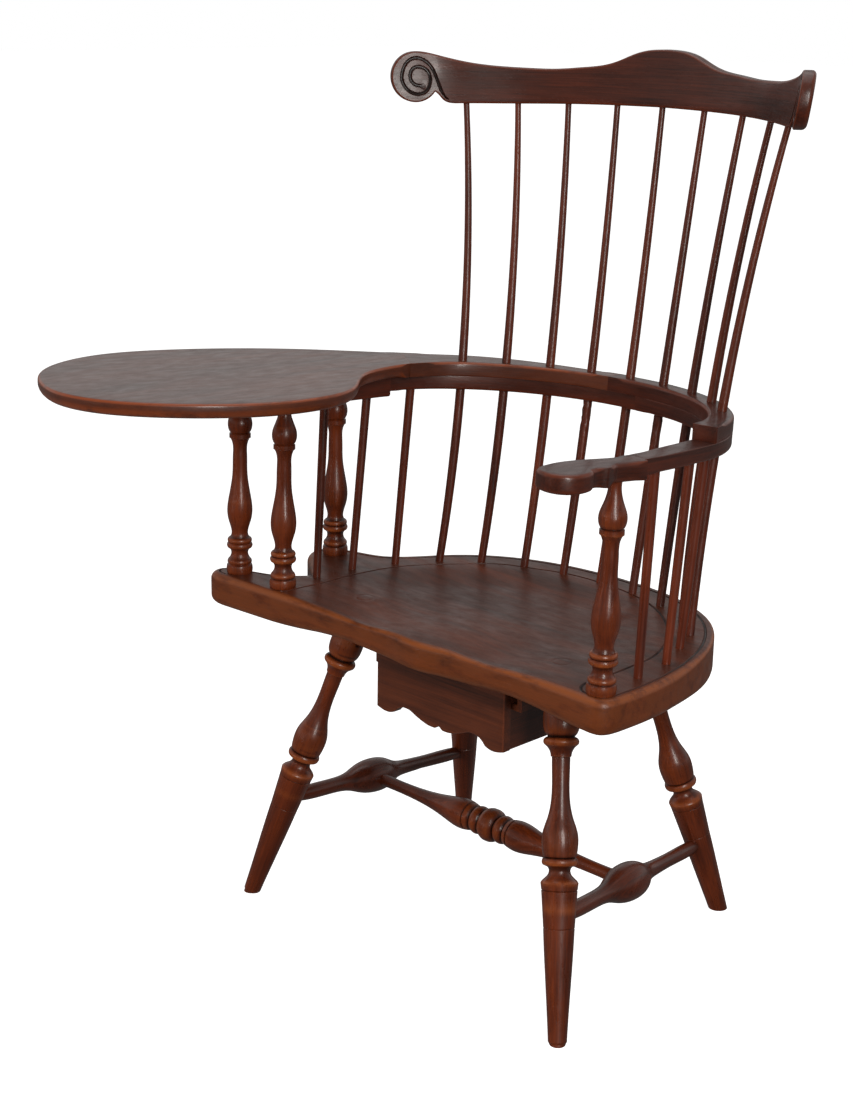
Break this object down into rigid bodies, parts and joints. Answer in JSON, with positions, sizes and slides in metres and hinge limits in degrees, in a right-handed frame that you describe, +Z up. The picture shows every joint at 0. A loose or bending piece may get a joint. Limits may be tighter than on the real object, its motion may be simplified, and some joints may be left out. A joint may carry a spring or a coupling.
{
  "type": "student desk chair",
  "caption": "Comb-back wooden armchair with turned splayed legs, a paddle writing board on the right arm and a drawer under the seat.",
  "frame": {"origin": "middle of the bounding box at the floor", "axes": "+Z up, the chair faces -Y, +X is the sitter's left; the writing board is on -X"},
  "size_m": [0.89, 0.8, 1.187],
  "materials": {
    "seat_wood": "satin lacquer over dark red-brown stain",
    "tablet_wood": "satin lacquer over dark red-brown stain",
    "rail_wood": "satin lacquer over dark red-brown stain",
    "turned_wood": "semi-gloss lacquer over red-brown stain with dark glaze in the grooves",
    "drawer_wood": "satin lacquer over dark brown stain",
    "screw_steel": "aged steel"
  },
  "bodies": {
    "chair": {"arm_hand_left": "rail_wood", "arm_post_left": "turned_wood", "arm_post_right": "turned_wood", "arm_rail_left": "rail_wood", "arm_rail_right": "rail_wood", "arm_rail_right_front": "rail_wood", "back_rail_left": "rail_wood", "back_rail_right": "rail_wood", "back_rail_screws": "screw_steel", "back_spindle_1": "turned_wood", "back_spindle_2": "turned_wood", "back_spindle_3": "turned_wood", "back_spindle_4": "turned_wood", "back_spindle_5": "turned_wood", "back_spindle_6": "turned_wood", "back_spindle_7": "turned_wood", "back_spindle_8": "turned_wood", "back_spindle_9": "turned_wood", "crest_rail": "rail_wood", "drawer_runner_left": "drawer_wood", "drawer_runner_right": "drawer_wood", "drawer_stop": "drawer_wood", "hand_dowels": "rail_wood", "leg_front_left": "turned_wood", "leg_front_right": "turned_wood", "leg_rear_left": "turned_wood", "leg_rear_right": "turned_wood", "leg_wedges": "seat_wood", "medial_stretcher": "turned_wood", "runner_screws": "screw_steel", "seat": "seat_wood", "side_spindle_left_1": "turned_wood", "side_spindle_left_2": "turned_wood", "side_spindle_left_3": "turned_wood", "side_spindle_right_1": "turned_wood", "side_spindle_right_2": "turned_wood", "side_spindle_right_3": "turned_wood", "side_stretcher_left": "turned_wood", "side_stretcher_right": "turned_wood", "tablet_post_outer": "turned_wood", "tablet_post_rear": "turned_wood", "tablet_screws": "screw_steel", "writing_tablet": "tablet_wood"},
    "drawer": {"drawer_back": "drawer_wood", "drawer_bottom": "drawer_wood", "drawer_cleat_left": "drawer_wood", "drawer_cleat_right": "drawer_wood", "drawer_front": "drawer_wood", "drawer_side_left": "drawer_wood", "drawer_side_right": "drawer_wood"}
  },
  "joints": [
    {"name": "drawer_slide", "type": "slide", "parent": "chair", "child": "drawer", "axis": [0, -1, 0], "range_m": [0, 0.165]}
  ]
}
